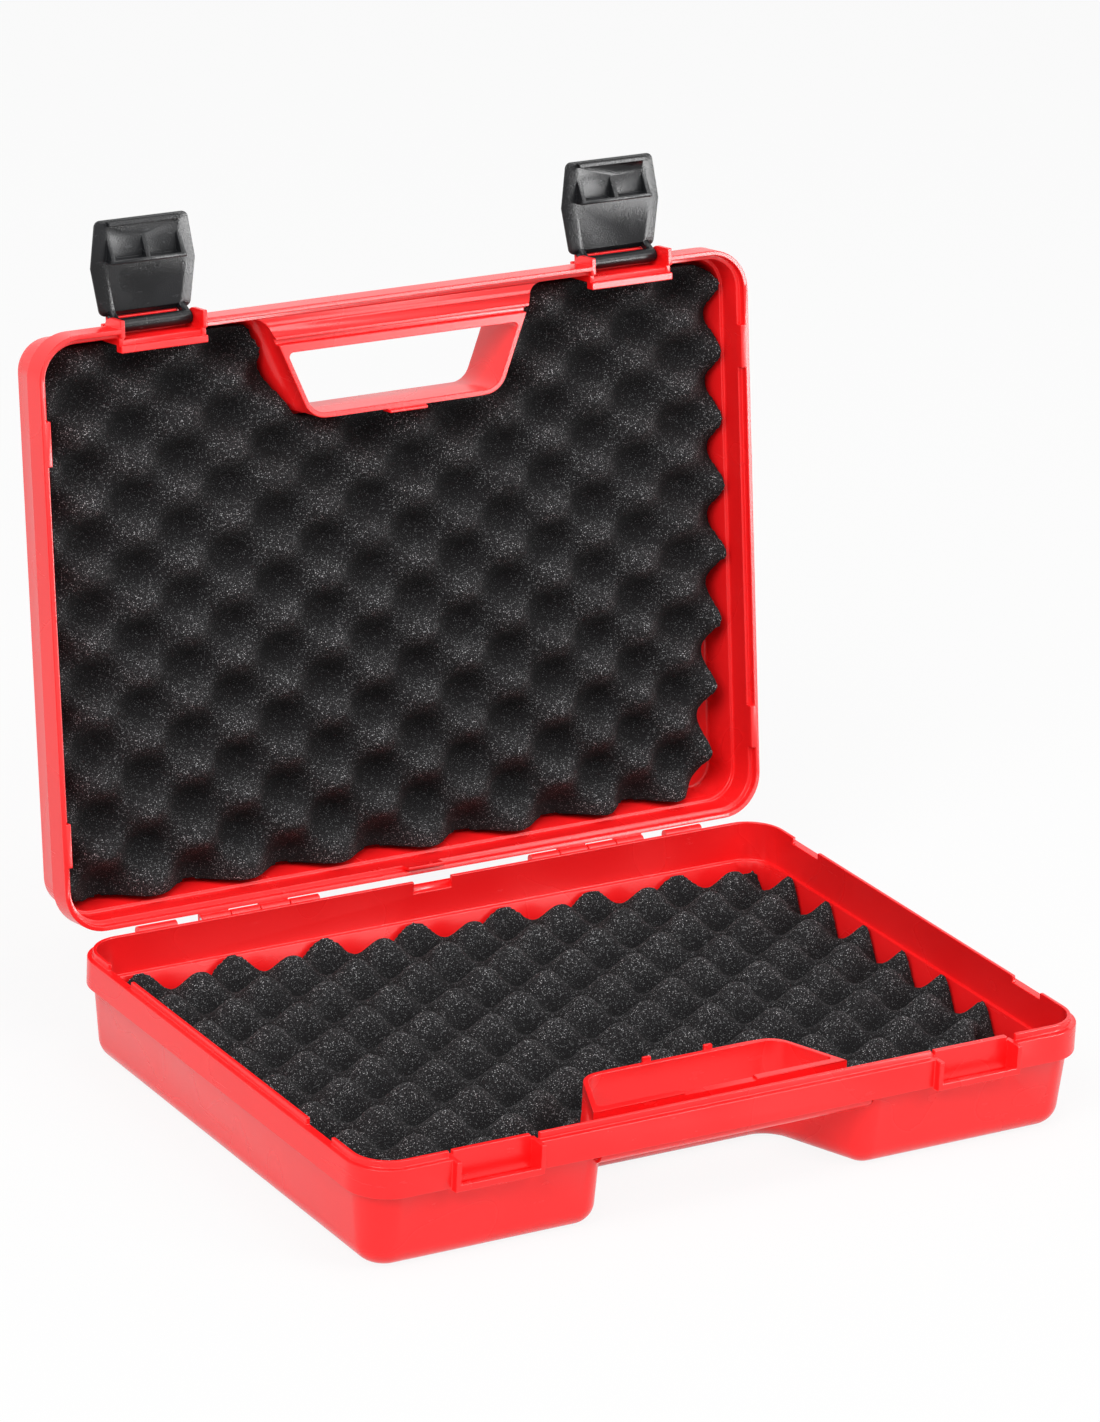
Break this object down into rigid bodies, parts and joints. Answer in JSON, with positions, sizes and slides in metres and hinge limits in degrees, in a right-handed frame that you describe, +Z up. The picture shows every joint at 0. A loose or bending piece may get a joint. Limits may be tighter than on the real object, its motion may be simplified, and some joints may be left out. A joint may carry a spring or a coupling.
{
  "type": "plastic carrying case",
  "caption": "Open moulded plastic carrying case with a hinged lid, snap latches on the lid, a hand hole behind a handle bar, and egg-crate foam in both halves.",
  "frame": {"origin": "centre of the underside of the base", "axes": "+X to the right along the hinge, -Y to the front with the handle and latches, +Z up"},
  "size_m": [0.36, 0.3443, 0.3564],
  "materials": {
    "shell": "semi-gloss moulded polypropylene",
    "latch": "fine-grained moulded plastic",
    "pin": "drawn steel rod",
    "foam": "open-cell egg-crate foam"
  },
  "bodies": {
    "base": {"base_shell": "shell", "base_foam": "foam", "hinge_pin_left": "pin", "hinge_pin_right": "pin"},
    "lid": {"lid_shell": "shell", "lid_foam": "foam"},
    "latch_left": {"latch_left": "latch"},
    "latch_right": {"latch_right": "latch"}
  },
  "joints": [
    {"name": "lid_hinge", "type": "hinge", "parent": "base", "child": "lid", "pos_m": [0, 0.1359, 0.04815], "axis": [1, 0, 0], "range_deg": [0, 98.2]},
    {"name": "latch_left_pivot", "type": "hinge", "parent": "lid", "child": "latch_left", "pos_m": [-0.1188, 0.18621, 0.31207], "axis": [1, 0, 0], "range_deg": [0, 90]},
    {"name": "latch_right_pivot", "type": "hinge", "parent": "lid", "child": "latch_right", "pos_m": [0.1188, 0.18621, 0.31207], "axis": [1, 0, 0], "range_deg": [0, 90]}
  ]
}
